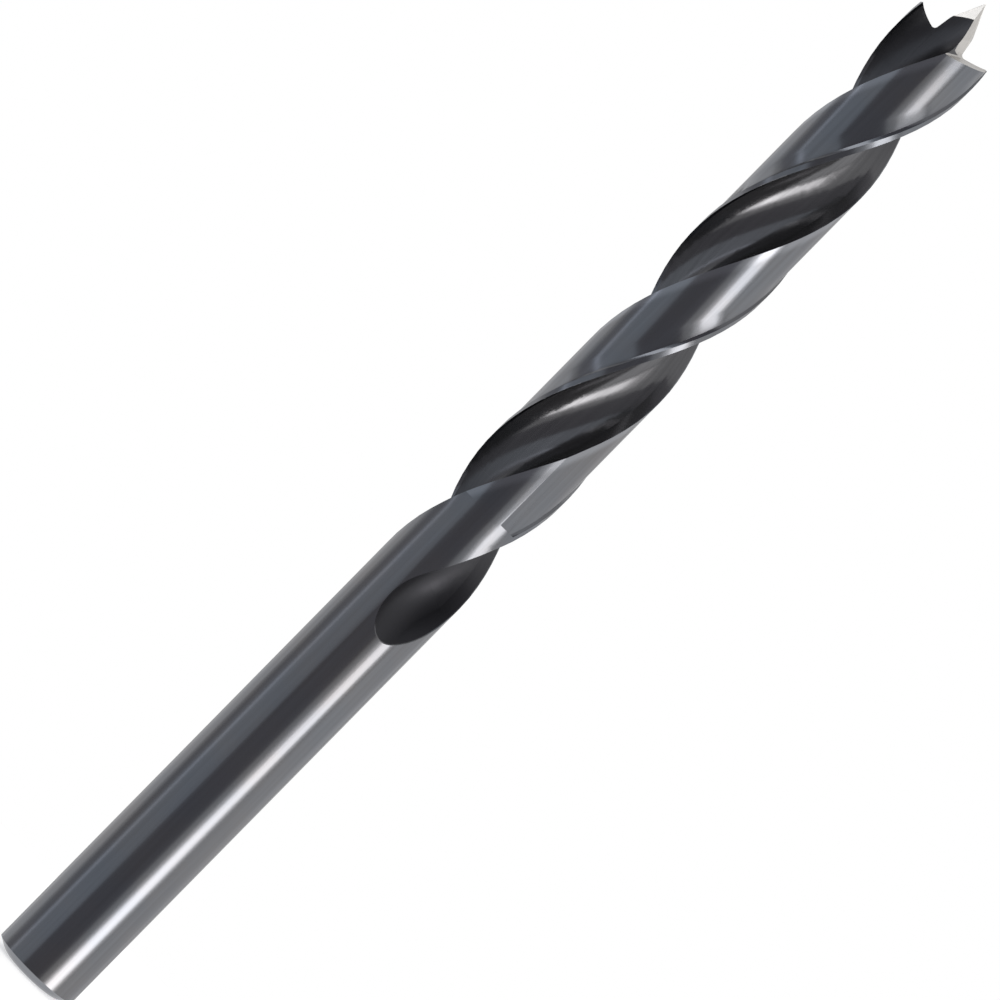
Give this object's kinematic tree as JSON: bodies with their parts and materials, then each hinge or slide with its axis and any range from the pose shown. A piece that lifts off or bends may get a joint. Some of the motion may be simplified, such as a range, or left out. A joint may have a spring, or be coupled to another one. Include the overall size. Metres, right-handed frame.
{
  "type": "brad point drill bit",
  "caption": "Straight-shank wood bit with helical flutes, ground margins, corner spurs, hollow lips and a centre point.",
  "frame": {"origin": "middle of the flat end of the shank", "axes": "+Z along the axis from the shank end to the centre point; the bit is set upright on its shank end and is held by the shank, as a rod this thin has no rest of its own"},
  "size_m": [0.01, 0.01, 0.137],
  "materials": {
    "black_oxide_steel": "polished"
  },
  "bodies": {
    "root": {"drill_bit": "black_oxide_steel"}
  },
  "joints": []
}
